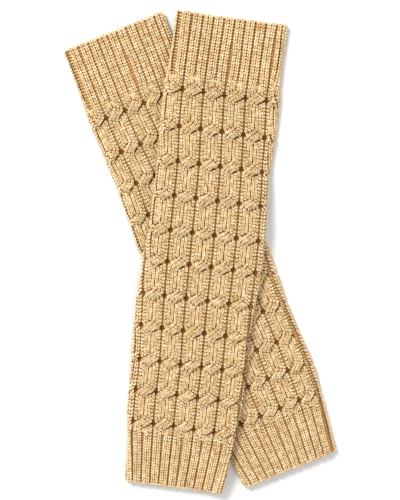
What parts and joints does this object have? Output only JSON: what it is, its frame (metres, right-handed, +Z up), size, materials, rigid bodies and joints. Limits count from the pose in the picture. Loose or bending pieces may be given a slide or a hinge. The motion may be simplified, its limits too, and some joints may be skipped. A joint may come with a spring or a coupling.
{
  "type": "pair of leg warmers",
  "caption": "Pair of cable-knit leg warmers with ribbed top and ankle cuffs, laid flat with one crossed over the other.",
  "frame": {"origin": "middle of the pair's outline, on the surface that it lies on", "axes": "+Y towards the top cuffs, along the length of the crossed pair; +X to the right, across the pair; +Z up, away from the surface"},
  "size_m": [0.2334, 0.4129, 0.0191],
  "materials": {
    "knitted_yarn": "soft plied yarn, light camel"
  },
  "bodies": {
    "root": {"under_top_cuff": "knitted_yarn", "under_cable_leg": "knitted_yarn", "under_ankle_cuff": "knitted_yarn", "over_top_cuff": "knitted_yarn", "over_cable_leg": "knitted_yarn", "over_ankle_cuff": "knitted_yarn"}
  },
  "joints": []
}
